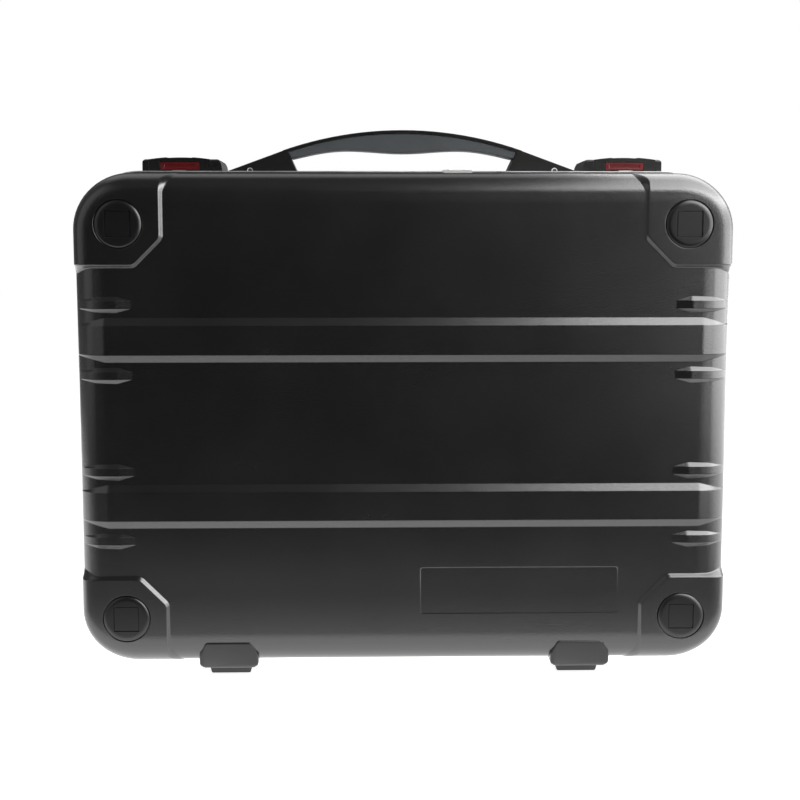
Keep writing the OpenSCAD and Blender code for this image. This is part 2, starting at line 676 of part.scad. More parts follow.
// handle
module handle_screw_at() for (x = [ear_x - ear_screw, ear_x + ear_screw])
  translate([x, (bracket_u0 + bracket_u1)/2 + 1, ledge_h]) children();
module handle_brackets() color(black_c) top_place() both() difference() {
  union() {
    translate([ear_x - bracket_w/2, bracket_u0, ledge_h])
      cube([bracket_w, bracket_u1 - bracket_u0, bracket_t]);
    along_x(ear_x - ear_w/2, ear_x + ear_w/2) {
      translate([pivot_u, pivot_w]) circle(ear_r);
      polygon([[pivot_u - 2, ledge_h], [bracket_u0 + 6, ledge_h], [bracket_u0 + 2, ledge_h + bracket_t],
        [pivot_u + ear_r - 0.2, pivot_w], [pivot_u - ear_r + 0.6, pivot_w - 2]]);
    }
  }
  along_x(ear_x - ear_w, ear_x + ear_w) translate([pivot_u, pivot_w]) circle(pin_r + pin_fix);
  handle_screw_at() {
    translate([0, 0, -5]) cylinder(r = screw_r + pin_fix, h = 20);
    cylinder(r1 = screw_r + pin_fix, r2 = screw_head + pin_fix, h = bracket_t);
  }
}
module handle_screws() color(steel_c) top_place() both() handle_screw_at() csk_screw(bracket_t);
module handle_pins() color(steel_c) top_place() both()
  along_x(ear_x - pivot_l, ear_x + pivot_l) translate([pivot_u, pivot_w]) circle(pin_r);

module arch(r, reach) intersection() {
  translate([-reach, 0]) square([2*reach, handle_top + 5]);
  translate([0, handle_top - arch_r]) circle(r, $fn = 360);
}
function under(x) = abs(x) <= grip_mid ?
  grip_high - grip_dip/2*(1 + cos(180*x/grip_mid)) :
  grip_high - (grip_high - grip_low)*(1 - cos(90*(abs(x) - grip_mid)/(grip_end - grip_mid)));
module handle_slab(in = 0) along_y(handle_u + in, handle_u + handle_d - in) children();
module frame_front() {
  handle_slab() difference() {
    arch(arch_r, wedge_x + strip_root);
    arch(arch_r - strip_t, wedge_x + strip_root + 1);
  }
  both() handle_slab() polygon([[wedge_in, wedge_w0], [handle_x, wedge_w0],
    [handle_x, wedge_w0 + wedge_tip], [wedge_x, wedge_w - 0.2],
    [wedge_x - 1.5, wedge_w - 0.5], [wedge_x - 2.9, wedge_w - wedge_nose]]);
}
module handle_side() {
  translate([handle_u, wedge_w0]) square([pivot_u - handle_u, handle_top]);
  intersection() {
    translate([pivot_u, pivot_w]) circle(pivot_r);
    translate([handle_u, 0]) square([handle_d, handle_top]);
  }
  translate([pivot_u - 1, pivot_w]) square([handle_u + handle_d - pivot_u + 1, handle_top]);
}
module handle_frame() color(black_c) top_place() difference() {
  intersection() {
    frame_front();
    along_x(-handle_x - 1, handle_x + 1) handle_side();
  }
  both() translate([ear_x - slot_w/2, slot_u, 0]) cube([slot_w, handle_d, handle_top + 20]);
  both() along_x(ear_x - pivot_l - 1, ear_x + pivot_l + 1) translate([pivot_u, pivot_w]) circle(pin_r + pin_run);
  both() along_y(handle_u - 2, handle_u + hrivet_l + 0.5) translate([hrivet_x, hrivet_w])
    circle(hrivet_shank + pin_fix);
}
grip_n = 16;
module grip_front() intersection() {
  arch(arch_r - strip_t, wedge_x);
  polygon(concat(
    [for (i = [-grip_n:grip_n]) let (x = grip_end*i/grip_n) [x, under(x)]],
    [[wedge_x - 1.6, wedge_w - 2.8], [wedge_x - 1.6, handle_top + 5],
     [-wedge_x + 1.6, handle_top + 5], [-wedge_x + 1.6, wedge_w - 2.8]]));
}
module handle_grip() color(grip_c) top_place() difference() {
  handle_slab(grip_in) grip_front();
  frame_front();
}
module handle_rivets() color(steel_c) top_place() both() {
  along_y(handle_u - 0.7, handle_u) translate([hrivet_x, hrivet_w]) circle(hrivet_r);
  along_y(handle_u - 0.2, handle_u + hrivet_l) translate([hrivet_x, hrivet_w])
    circle(hrivet_shank);
}

lid_shell();
base_shell();
lid_rim();
base_rim();
rim_seal();
lid_rim_clip();
base_rim_clip();
lid_pads();
base_pads();
lid_feet();
base_feet();
hinge_lid_leaves();
hinge_base_leaves();
hinge_pins();
hinge_lid_rivets();
hinge_base_rivets();
strikes();
strike_rivets();
latch_plate_left();
latch_plate_right();
latch_lever_left();
latch_lever_right();
latch_claw_left();
latch_claw_right();
latch_pins();
latch_button_left();
latch_button_right();
latch_screws();
handle_brackets();
handle_screws();
handle_pins();
handle_frame();
handle_grip();
handle_rivets();
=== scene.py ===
import bpy
import bmesh
import json
import math
import numpy as np
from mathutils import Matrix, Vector
from mathutils.geometry import delaunay_2d_cdt


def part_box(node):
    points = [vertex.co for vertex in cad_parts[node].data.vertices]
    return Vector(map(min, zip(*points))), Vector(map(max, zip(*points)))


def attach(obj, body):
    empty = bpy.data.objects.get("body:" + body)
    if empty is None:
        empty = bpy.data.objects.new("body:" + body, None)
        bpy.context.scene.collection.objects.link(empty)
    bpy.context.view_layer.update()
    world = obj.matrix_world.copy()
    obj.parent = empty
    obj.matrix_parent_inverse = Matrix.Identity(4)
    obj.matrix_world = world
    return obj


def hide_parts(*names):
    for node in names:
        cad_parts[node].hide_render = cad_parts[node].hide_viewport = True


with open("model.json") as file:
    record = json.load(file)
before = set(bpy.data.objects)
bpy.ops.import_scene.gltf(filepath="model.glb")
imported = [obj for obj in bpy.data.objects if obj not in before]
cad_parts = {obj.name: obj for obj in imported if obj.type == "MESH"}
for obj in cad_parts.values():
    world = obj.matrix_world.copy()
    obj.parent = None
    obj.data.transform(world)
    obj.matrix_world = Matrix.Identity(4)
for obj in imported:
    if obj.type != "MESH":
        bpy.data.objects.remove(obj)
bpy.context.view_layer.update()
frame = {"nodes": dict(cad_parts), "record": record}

# Sizes of the object are in millimetres, as in the CAD. Places and sizes of the camera, the
# studio and the bumps in materials are in metres.
MM = 0.001
TINY = 1e-9
MERGE = 1e-6                      # points of a mesh nearer than this become one, in metres
SCENE = bpy.context.scene


def new_object(name, data):
    obj = bpy.data.objects.new(name, data)
    SCENE.collection.objects.link(obj)
    return obj


# ---------------------------------------------------------------- camera
CAM_POS = (-0.0256, -1.072, 0.3242)
CAM_PITCH, CAM_YAW = 6.819, 1.270     # degrees down and to the right
CAM_F, PICTURE_W = 1417.5, 800        # focal length and picture width in pixels
SENSOR_W, CAM_FAR = 36.0, 50

cam_data = bpy.data.cameras.new("camera")
cam = new_object("camera", cam_data)
cam.location = CAM_POS
cam.rotation_euler = (math.radians(90 - CAM_PITCH), 0, -math.radians(CAM_YAW))
cam_data.sensor_width = SENSOR_W
cam_data.lens = SENSOR_W*CAM_F/PICTURE_W
cam_data.clip_end = CAM_FAR
SCENE.camera = cam

# ---------------------------------------------------------------- driving sizes
RIM_PROUD = 3.0                   # how far the rims stand out of the shells
rim_low, rim_high = (v/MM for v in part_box("lid_rim"))
CASE_W = rim_high.x - rim_low.x - 2*RIM_PROUD
CASE_H = rim_high.z - rim_low.z - 2*RIM_PROUD
MID_Z = (rim_high.z + rim_low.z)/2
PART_Y = -15.0                    # the parting plane
LID_D, BASE_D = 57.0, 87.0
SIDES = (("lid", LID_D, True), ("base", BASE_D, False))
CORNER_R, EDGE_R, WALL = 40.0, 14.0, 3.4
SHELL_V = 6.0                     # the shells start this far from the parting plane
RIM_V = 10.3                      # and come out of the rims here
ARC = EDGE_R*math.pi/2            # length of the rolled edge
CORE_X, CORE_Y = CASE_W/2 - CORNER_R, CASE_H/2 - CORNER_R
FLAT_R = CORNER_R - EDGE_R        # corner radius of the flat face
FLAT_X, FLAT_Y = CASE_W/2 - EDGE_R, CASE_H/2 - EDGE_R
DROP = 0.75                       # the relief sits this much below the middle

# corner guards
GUARD_H, GUARD_SIDE, GUARD_TOP = 2.5, 0.4, 0.3   # how proud on the face, side and top walls
GUARD_SQUARE = 1.6                # how much squarer their outer corners are than a round one
GUARD_X, GUARD_Y, GUARD_C = 172.0, 112.95, 18.5  # crest of the inner edge, and its cut corner
GUARD_FOOT = 3.1                  # from a guard's crest to its foot, on the flat face
GUARD_FLARE, FLARE_POWER = 9.0, 1.6   # how the foot swings out on the top and bottom rolls
GUARD_SWING, SWING_POWER = 5.0, 2     # and on the side rolls
GUARD_TIP, TIP_POWER = 0.49, 2.5  # sine of the turn where the crest starts to meet the foot
TIP_GAP = 0.6                     # what is left between them in the end
GUARD_ROUND = 2.0                 # rounding of the guards' inner corners
GUARD_BEND = 0.95                 # width of the bends at crest and foot

# bands and ribs: place, height, half width of the flat top, width of a flank
BAND_Y, BAND_H, BAND_A, BAND_B = 59.5, 2.6, 10.4, 5.4
BAND_FADE = 21.0                  # a band reaches its height this far from the side wall
RIB_Y, RIB_H, RIB_A, RIB_B = 25.0, 2.2, 2.8, 3.0
RIB_START, RIB_FAST, RIB_FULL, RIB_END = 2.0, 14.0, 29.0, 40.0
RIB_PART = 0.8                    # share of its height that a rib has at RIB_FAST
CREASE = 0.3                      # half width of a rounded crease

# seats of the corner pads, and the bare recess for a name plate
PAD_X, PAD_Y, PAD_R = 200.0, 140.95, 17.1
PAD_FLOOR, PAD_RIM = 0.3, 0.4     # floor over the plain face, rounded mouth
PADS = [(i*PAD_X, j*PAD_Y - DROP) for i in (-1, 1) for j in (-1, 1)]
PLATE_X, PLATE_Y = 82.7, 53 - CASE_H/2
PLATE_W, PLATE_H, PLATE_R, PLATE_DEEP = 143.4, 34.6, 2.2, 0.42
PLATE_RAMP, PLATE_TILT = 0.7, 0.5     # width of its flanks, lean of its floor

# how softly the flat turns into the rolled edge
SOFT_IN, SOFT_OUT, SOFT_DEEP = 8.0, 20.0, 0.9


# ---------------------------------------------------------------- shells: the form
# A shell's outside is a sheet unrolled from the flat face over the rolled edge and down the
# wall. p and q are a point's place on it, t how far it lies outside the flat.
def quarter(steps):
    """The turns from 0 to 90 degrees."""
    return [math.pi/2*i/steps for i in range(steps + 1)]


def off_flat(p, q):
    """Which way and how far a point of the sheet lies outside the flat."""
    ax, ay = np.maximum(np.abs(p) - CORE_X, 0), np.maximum(np.abs(q) - CORE_Y, 0)
    rho = np.maximum(np.hypot(ax, ay), TINY)
    return ax/rho, ay/rho, np.maximum(rho - FLAT_R, 0)


def rolled(t):
    """Turn of the surface and its drop from the face, t outside the flat."""
    a = np.minimum(t/EDGE_R, math.pi/2)
    return a, EDGE_R*(1 - np.cos(a)) + np.maximum(t - ARC, 0)


def sheet_x(s):
    """Place on the sheet that lies s from the side wall; below 0 it is down the wall."""
    if s >= EDGE_R:
        return CASE_W/2 - s
    if s >= 0:
        return FLAT_X + EDGE_R*math.asin(1 - s/EDGE_R)
    return FLAT_X + ARC - s


def from_box(dx, dy):
    """Distance from a rectangle, below 0 inside it; dx and dy are those from its sides."""
    return np.hypot(np.maximum(dx, 0), np.maximum(dy, 0)) + np.minimum(np.maximum(dx, dy), 0)


def band_rise(s):
    """Height of a band, s from the side wall."""
    return BAND_H*np.clip(s/BAND_FADE, 0, 1)


def rib_rise(s):
    """Height of a rib, s from the side wall."""
    return RIB_H*np.interp(s, [RIB_START, RIB_FAST, RIB_FULL, RIB_END], [0, RIB_PART, 1, 0])


def ridge(u, rise, flat, slope):
    """Height of a ridge, u from its middle line: a flat top with straight flanks."""
    rise = np.maximum(rise, 0)
    return np.clip((flat + slope*rise - u)/slope, 0, rise)


def recess(p, q, wide, high, r, deep, ramp):
    """Depth of a rounded rectangular recess, p and q from its middle."""
    out = from_box(np.abs(p) - wide/2 + r, np.abs(q) - high/2 + r)
    return deep*np.clip((r - out)/ramp, 0, 1)


def plate_depth(p, q):
    """Depth of the name plate's recess, with a leaning floor."""
    deep = PLATE_DEEP + PLATE_TILT*np.clip((q - PLATE_Y)/PLATE_H, -0.5, 0.5)
    return recess(p - PLATE_X, q - PLATE_Y, PLATE_W, PLATE_H, PLATE_R, deep, PLATE_RAMP)


def smooth_max(a, b, k):
    """The greater of two values, rounded where they differ by less than k."""
    h = np.maximum(k - np.abs(a - b), 0)
    return np.maximum(a, b) + h*h/(4*k)


def guard_level(p, q):
    """1 on the crest of a guard's edge and more in the guard, 0 at its foot and less inside;
    and the share of each bend."""
    mx, my, t = off_flat(p, q)
    turn = np.sin(rolled(t)[0])
    x, y = np.abs(p), np.abs(q + DROP)
    foot = GUARD_FOOT + GUARD_FLARE*my*turn**FLARE_POWER + GUARD_SWING*mx*turn**SWING_POWER
    tip = np.clip((turn - GUARD_TIP)/(1 - GUARD_TIP), 0, 1)
    crest = (foot - TIP_GAP)*my*tip**TIP_POWER
    cut = (GUARD_X + GUARD_Y + GUARD_C - x - y)/math.sqrt(2)
    inside = smooth_max(GUARD_X - crest - x,
                        smooth_max(GUARD_Y - y, cut, GUARD_ROUND), GUARD_ROUND)
    return 1 - inside/(foot - crest), np.minimum(GUARD_BEND/(foot - crest), 0.5)


def eased(u, e):
    """A straight rise from 0 to 1 with rounded ends, e the share of each bend."""
    u = np.clip(u, 0, 1)
    low, high = u*u/(2*e*(1 - e)), 1 - (1 - u)**2/(2*e*(1 - e))
    return np.where(u < e, low, np.where(u > 1 - e, high, (u - e/2)/(1 - e)))


def soft_start(p, q):
    """How far the surface sinks where the flat turns into the rolled edge."""
    s = from_box(np.abs(p) - CORE_X, np.abs(q) - CORE_Y) - FLAT_R
    u = np.clip((s + SOFT_IN)/(SOFT_IN + SOFT_OUT), 0, 1)
    return SOFT_DEEP/2*(1 - np.cos(2*math.pi*u))


def relief(p, q, depth, plate):
    """How far the surface stands out of a plain rounded shell."""
    mx, my, t = off_flat(p, q)
    a, drop = rolled(t)
    y = np.abs(q + DROP)

    # guards: a wider and squarer roll outside their bent inner edge
    wall = EDGE_R + GUARD_SIDE*mx + np.where(q > 0, GUARD_TOP, GUARD_SIDE)*my
    square = 2 + GUARD_SQUARE*mx*mx
    full = ((np.sin(a)/wall)**square
            + (np.cos(a)/(EDGE_R + GUARD_H))**square)**(-1/square) - EDGE_R
    share = eased(*guard_level(p, q))
    out = full*share

    # bands and ribs fade out towards the side walls; the ribs keep off top and bottom
    x_in = np.where(t > 0, np.abs(p) + mx*(EDGE_R*np.sin(a) - t), np.abs(p))
    from_side = np.where((mx > 0) & (t > ARC), ARC - t, CASE_W/2 - x_in)
    out = np.maximum(out, ridge(np.abs(y - BAND_Y), band_rise(from_side), BAND_A, BAND_B/BAND_H))
    ribs = np.where(my > 0.5, 0, rib_rise(from_side))
    for side in (-1, 1):
        out = np.maximum(out, ridge(np.abs(y - BAND_Y - side*RIB_Y), ribs, RIB_A, RIB_B/RIB_H))

    out = np.where(depth - drop < RIM_V - 0.01, 0, out)   # nothing of it goes under the rim
    return out - soft_start(p, q)*(1 - mx*mx*share) - (plate_depth(p, q) if plate else 0)


def lay(p, q, depth, plate, inset):
    """The sheet's points in the shell's own frame: x, y, and v from the parting plane.
    The relief is only on the sheet without an inset."""
    mx, my, t = off_flat(p, q)
    a, drop = rolled(t)
    mx, my = mx*np.sign(p), my*np.sign(q)
    shift = EDGE_R*np.sin(a) - t
    out = -inset if inset else relief(p, q, depth, plate)
    return np.stack([p + mx*(shift + out*np.sin(a)), q + my*(shift + out*np.sin(a)),
                     depth - drop + out*np.cos(a)], -1)


def lay_normals(p, q, depth, plate, inset):
    """The sheet's normals, from differences over steps of 2*e."""
    e = 0.02
    dp = lay(p + e, q, depth, plate, inset) - lay(p - e, q, depth, plate, inset)
    dq = lay(p, q + e, depth, plate, inset) - lay(p, q - e, depth, plate, inset)
    n = np.cross(dp, dq)
    return n/np.maximum(np.linalg.norm(n, axis=1, keepdims=True), 1e-12)


# ---------------------------------------------------------------- shells: the triangles
QUADRANTS = ((1, 1), (-1, 1), (-1, -1), (1, -1))
OUTLINE_STEPS, ROLL_STEPS, RECESS_STEPS, CIRCLE_STEPS = 15, 11, 6, 72
GUARD_LEVELS = (0.0, 0.12, 0.28, 0.5, 0.72, 0.88, 1.0)
GUARD_STEPS, HALVINGS = 16, 40
GUARD_NEAR = (0, 0.6, 1.3, 2, 2.8, 4, 7)   # stations on both sides of the cut corner's ends
SEEK_IN, SEEK_OUT, SEEK_BEND = 8, 16, 12   # how far off a guard's edge its lines are sought
BAND_BEND, RIB_BEND, RIB_TIP = 1.5, 1, 0.3   # cross lines on both sides of a ridge's bends
BEYOND = 1                        # cross lines reach this far past a ridge's foot
RIB_CREASE = CREASE*0.8
SOFT_STEPS = 4                    # rows inside the flat, where it begins to sink
RIM_UNDER = 0.3                   # one row runs this far under the rim
CUT_IN, CUT_OUT = 0.05, 0.02      # slack about a seat's mouth, for its points and triangles
SEAT_HOLE = 0.5                   # radius left open in a seat's floor, under the pad


class Net:
    """Lines on the sheet that the triangles keep."""
    def __init__(self):
        self.points, self.edges = [], []

    def line(self, points, closed=False):
        first = len(self.points)
        self.points += [Vector(p) for p in points]
        n = len(points)
        self.edges += [(first + i, first + (i + 1) % n) for i in range(n if closed else n - 1)]

    def outline(self, t):
        """The closed row that runs t outside the flat."""
        r = FLAT_R + t
        row = []
        for k, (sx, sy) in enumerate(QUADRANTS):
            for i in range(OUTLINE_STEPS + 1):
                turn = math.pi/2*(k + i/OUTLINE_STEPS)
                row.append((sx*CORE_X + r*math.cos(turn), sy*CORE_Y + r*math.sin(turn)))
        self.line(row, True)
        return row

    def triangles(self):
        v, _, f, _, _, _ = delaunay_2d_cdt(self.points, self.edges, [], 0, 1e-5)
        return np.array([tuple(c) for c in v]), np.array(f, int)


def circle(cx, cy, r):
    """A closed row of points round a place on the sheet."""
    turns = [2*math.pi*i/CIRCLE_STEPS for i in range(CIRCLE_STEPS)]
    return [(cx + r*math.cos(a), cy + r*math.sin(a)) for a in turns]


def guard_seeks(i, j, turns, bend):
    """Two rows along a guard's inner edge, one in the guard and one clear of it."""
    centre = Vector((i*FLAT_X, j*FLAT_Y))
    high = [(i*(GUARD_X + SEEK_IN), j*(FLAT_Y + t)) for t in turns]
    low = [(i*(GUARD_X - SEEK_OUT), j*(FLAT_Y + t)) for t in turns]
    for x, y in bend:
        to = Vector((i*x, j*y - DROP))
        high.append(tuple(centre))
        low.append(tuple(to + (to - centre).normalized()*SEEK_BEND))
    high += [(i*(FLAT_X + t), j*(GUARD_Y + SEEK_IN) - DROP) for t in reversed(turns)]
    low += [(i*(FLAT_X + t), j*(GUARD_Y - SEEK_OUT) - DROP) for t in reversed(turns)]
    return np.array(high), np.array(low)


def guard_lines(net, wall_end):
    """Contour lines of the guards' edges, from the top or bottom wall to the side wall."""
    turns = [wall_end] + [ARC*i/GUARD_STEPS for i in range(GUARD_STEPS, -1, -1)]
    # across the cut corner: stations near its upper end, and mirrored near its lower end
    near = [-d for d in GUARD_NEAR[:0:-1]] + list(GUARD_NEAR)
    bend = [(GUARD_X, GUARD_Y + GUARD_C + d) if d >= 0 else
            (GUARD_X - d*math.sqrt(0.5), GUARD_Y + GUARD_C + d*math.sqrt(0.5))
            for d in reversed(near)]
    bend += [(GUARD_X + y - GUARD_Y, GUARD_Y + x - GUARD_X) for x, y in reversed(bend)]
    for i in (-1, 1):
        for j in (-1, 1):
            high, low = guard_seeks(i, j, turns, bend)
            for level in GUARD_LEVELS:
                a, b = high, low
                for _ in range(HALVINGS):
                    m = (a + b)/2
                    over = (guard_level(m[:, 0], m[:, 1])[0] > level)[:, None]
                    a, b = np.where(over, m, a), np.where(over, b, m)
                net.line(a.tolist())


def ridge_lines(net, y, flat, slope, rise, stations, w):
    """Crest and foot of a ridge on both sides of its middle line, at each end of the case."""
    for end in (-1, 1):
        for side in (-1, 1):
            for o in (-w, w):
                net.line([(end*sheet_x(s), y + side*(flat + o)) for s in stations])
                net.line([(end*sheet_x(s), y + side*(flat + slope*max(float(rise(s)), 0) + o))
                          for s in stations])


def across(net, s, y, half):
    """A line across a ridge, s from the side wall, at each end of the case."""
    for end in (-1, 1):
        net.line([(end*sheet_x(s), y - half), (end*sheet_x(s), y + half)])


def recess_lines(net, x, y, wide, high, r, ramp):
    """Both edges of a recess's flanks, each as two lines."""
    e = min(0.1, ramp*0.3)
    for out in (e, -e, e - ramp, -e - ramp):
        row = []
        for k, (sx, sy) in enumerate(QUADRANTS):
            for i in range(RECESS_STEPS + 1):
                turn = math.pi/2*(k + i/RECESS_STEPS)
                row.append((x + sx*(wide/2 - r) + (r + out)*math.cos(turn),
                            y + sy*(high/2 - r) + (r + out)*math.sin(turn)))
        net.line(row, True)


def relief_lines(net, wall_end, plate):
    guard_lines(net, wall_end)
    near = [EDGE_R*(1 - math.sin(a)) for a in reversed(quarter(10))]
    band_at = near + [BAND_FADE, CASE_W/2]
    rib_at = [s for s in near if s > 0.5] + [RIB_FULL, RIB_END]
    for j in (-1, 1):
        y = j*BAND_Y - DROP
        ridge_lines(net, y, BAND_A, BAND_B/BAND_H, band_rise, band_at, CREASE)
        for s in (BAND_FADE - BAND_BEND, BAND_FADE + BAND_BEND):
            across(net, s, y, BAND_A + BAND_B + BEYOND)
        for k in (-1, 1):
            y2 = y + j*k*RIB_Y
            ridge_lines(net, y2, RIB_A, RIB_B/RIB_H, rib_rise, rib_at, RIB_CREASE)
            for s in (RIB_FULL - RIB_BEND, RIB_FULL + RIB_BEND,
                      RIB_END - RIB_TIP, RIB_END + RIB_TIP):
                across(net, s, y2, RIB_A + RIB_B + BEYOND)
    if plate:
        recess_lines(net, PLATE_X, PLATE_Y, PLATE_W, PLATE_H, PLATE_R, PLATE_RAMP)


def away(at, cx, cy):
    """How far points of the sheet lie from a place on it."""
    return np.hypot(at[:, 0] - cx, at[:, 1] - cy)


def add_seat(cx, cy, depth, uv, tris, points, normals):
    """Cuts a round hole for a pad and adds the seat's points: rounded mouth, wall and floor.
    Returns the triangles that are left, and the seat's own."""
    mouth = PAD_R + PAD_RIM
    inside = away(uv[tris].mean(1), cx, cy) < mouth - CUT_OUT
    rim = np.unique(tris[inside])
    rim = rim[away(uv[rim], cx, cy) > mouth - CUT_IN]
    turns = np.arctan2(uv[rim, 1] - cy, uv[rim, 0] - cx)
    rim, turns = rim[np.argsort(turns)], np.sort(turns)
    tops = [points[c][2] for c in rim]
    floors = [depth + PAD_FLOOR]*len(rim)

    # rings: radius, heights, lean of the normal from v, joined to the ring before
    rings = [(PAD_R + PAD_RIM*(1 - math.sin(a)), [v - PAD_RIM*(1 - math.cos(a)) for v in tops],
              a, True) for a in quarter(3)[1:]]
    rings += [(PAD_R, floors, math.pi/2, True), (PAD_R, floors, 0.0, False),
              (SEAT_HOLE, floors, 0.0, True)]
    seat, last, n = [], list(rim), len(rim)
    for r, heights, a, joined in rings:
        first = len(points)
        for th, v in zip(turns, heights):
            points.append(np.array([cx + r*math.cos(th), cy + r*math.sin(th), v]))
            normals.append(np.array([-math.cos(th)*math.sin(a), -math.sin(th)*math.sin(a),
                                     math.cos(a)]))
        ids = list(range(first, first + n))
        for i in range(n if joined else 0):
            j = (i + 1) % n
            seat += [(last[i], last[j], ids[j]), (last[i], ids[j], ids[i])]
        last = ids
    return tris[~inside], seat


def shell_sheet(depth, plate, inset=0.0):
    """Points, normals and triangles of a shell's outside, or of its inside with an inset."""
    end = ARC + depth - EDGE_R - SHELL_V
    rim_end = end + SHELL_V - RIM_V
    net = Net()
    for i in range(ROLL_STEPS + 1):
        net.outline(ARC*i/ROLL_STEPS)
    if not inset:
        for i in range(1, SOFT_STEPS + 1):
            net.outline(-SOFT_IN*i/SOFT_STEPS)
        net.outline(rim_end)
        relief_lines(net, rim_end, plate)
        for cx, cy in PADS:
            net.line(circle(cx, cy, PAD_R + PAD_RIM), True)
        net.outline(rim_end + RIM_UNDER)
    net.outline(end)
    uv, tris = net.triangles()
    points = lay(uv[:, 0], uv[:, 1], depth, plate, inset)
    normals = lay_normals(uv[:, 0], uv[:, 1], depth, plate, inset)
    if inset:
        return points, -normals, tris[:, ::-1]
    points, normals, seats = list(points), list(normals), []
    for cx, cy in PADS:
        tris, seat = add_seat(cx, cy, depth, uv, tris, points, normals)
        seats += seat
    return np.array(points), np.array(normals), np.vstack([tris, np.array(seats)])


def free_edge(depth):
    """The shell's free edge, inside the rim: points, normals and triangles."""
    plain = 1e-6                  # an inset that only leaves out the relief
    row = np.array(Net().outline(ARC + depth - EDGE_R - SHELL_V))
    p, q = row[:, 0], row[:, 1]
    points = np.vstack([lay(p, q, depth, False, plain), lay(p, q, depth, False, WALL)])
    n = len(row)
    faces = []
    for i in range(n):
        j = (i + 1) % n
        faces += [(i, n + i, n + j), (i, n + j, j)]
    return points, np.tile([0.0, 0.0, -1.0], (2*n, 1)), np.array(faces)


def join_sheets(sheets):
    """Several sheets' points, normals and triangles as one."""
    points, normals, faces, base = [], [], [], 0
    for p, n, f in sheets:
        points.append(p)
        normals.append(n)
        faces.append(f + base)
        base += len(p)
    return np.vstack(points), np.vstack(normals), np.vstack(faces)


# ---------------------------------------------------------------- meshes
def to_world(points, lid, move=True):
    """From a shell's own frame to the shared frame, in metres; move is left off for normals."""
    x, y, v = points[:, 0], points[:, 1], points[:, 2]
    out = np.stack([x, -v if lid else v, y], -1)
    return (out + np.array([0, PART_Y, MID_Z]))*MM if move else out


def sheet_object(name, points, normals, faces, lid, mat):
    """A mesh with the normals given."""
    if not lid:
        faces = [tuple(reversed(f)) for f in faces]
    mesh = bpy.data.meshes.new(name)
    mesh.from_pydata(to_world(points, lid).tolist(), [],
                     [tuple(int(i) for i in f) for f in faces])
    mesh.validate()
    for poly in mesh.polygons:
        poly.use_smooth = True
    mesh.normals_split_custom_set_from_vertices(to_world(normals, lid, False).tolist())
    mesh.materials.append(mat)
    return new_object(name, mesh)


def finish_bmesh(bm, mesh, angle):
    """Smooth shading, with sharp edges where two faces turn by more than angle degrees."""
    bmesh.ops.recalc_face_normals(bm, faces=bm.faces)
    for f in bm.faces:
        f.smooth = True
    for e in bm.edges:
        turn = e.calc_face_angle(0) if len(e.link_faces) == 2 else 0
        e.smooth = turn <= math.radians(angle)
    bm.to_mesh(mesh)
    bm.free()


def solid_object(name, verts, faces, lid, mat, angle=40):
    """A mesh from points in a shell's own frame, with normals of its own."""
    mesh = bpy.data.meshes.new(name)
    mesh.from_pydata(to_world(np.array(verts), lid).tolist(), [], faces)
    bm = bmesh.new()
    bm.from_mesh(mesh)
    bmesh.ops.remove_doubles(bm, verts=bm.verts, dist=MERGE)
    finish_bmesh(bm, mesh, angle)
    mesh.materials.append(mat)
    return new_object(name, mesh)


def ring_faces(rows, n):
    """Faces between closed rows of n points each."""
    return [(r*n + i, r*n + (i + 1) % n, (r + 1)*n + (i + 1) % n, (r + 1)*n + i)
            for r in range(rows - 1) for i in range(n)]


def rounded_outline(corners, steps=6):
    """A closed outline from (x, y, radius) corners, run anticlockwise."""
    pts, n = [], len(corners)
    for i, (x, y, r) in enumerate(corners):
        here = Vector((x, y))
        a = (Vector(corners[i - 1][:2]) - here).normalized()
        b = (Vector(corners[(i + 1) % n][:2]) - here).normalized()
        if r <= 0:
            pts.append(here)
            continue
        half = a.angle(b)/2
        centre = here + (a + b).normalized()*(r/math.sin(half))
        first = here + a*(r/math.tan(half)) - centre
        turn = first.angle_signed(here + b*(r/math.tan(half)) - centre)
        for k in range(steps + 1):
            c, s = math.cos(-turn*k/steps), math.sin(-turn*k/steps)
            pts.append(centre + Vector((first.x*c - first.y*s, first.x*s + first.y*c)))
    return pts


# ---------------------------------------------------------------- materials
def new_material(name):
    m = bpy.data.materials.new(name)
    m.use_nodes = True
    tree = m.node_tree
    return m, tree, tree.nodes["Principled BSDF"]


def plug(tree, socket, value):
    """Links a socket to another, or sets its value."""
    if isinstance(value, bpy.types.NodeSocket):
        tree.links.new(value, socket)
    else:
        socket.default_value = value


def add(tree, kind, inputs=(), **props):
    n = tree.nodes.new(kind)
    for k, v in props.items():
        setattr(n, k, v)
    for k, v in dict(inputs).items():
        plug(tree, n.inputs[k], v)
    return n


def coords(tree, scale=(1, 1, 1)):
    c = add(tree, "ShaderNodeTexCoord")
    return add(tree, "ShaderNodeMapping", {0: c.outputs["Object"], 3: scale}).outputs[0]


def noise(tree, at, scale, detail=2.0, rough=0.5):
    return add(tree, "ShaderNodeTexNoise", {"Vector": at, "Scale": scale, "Detail": detail,
                                            "Roughness": rough}).outputs["Fac"]


def spread(tree, value, low, high, to_low, to_high):
    """Maps low to high onto to_low to to_high, and stays between them."""
    return add(tree, "ShaderNodeMapRange",
               {0: value, 1: low, 2: high, 3: to_low, 4: to_high}).outputs[0]


def mix(tree, factor, a, b):
    """Mixes two colours; sockets 0, 6 and 7 are the factor and the two."""
    n = add(tree, "ShaderNodeMix", {0: factor}, data_type="RGBA")
    for k, v in ((6, a), (7, b)):
        plug(tree, n.inputs[k], v if isinstance(v, bpy.types.NodeSocket) else (*v, 1))
    return n.outputs[2]


def maths(tree, how, a, b=0.0, clamp=False):
    return add(tree, "ShaderNodeMath", {0: a, 1: b}, operation=how, use_clamp=clamp).outputs[0]


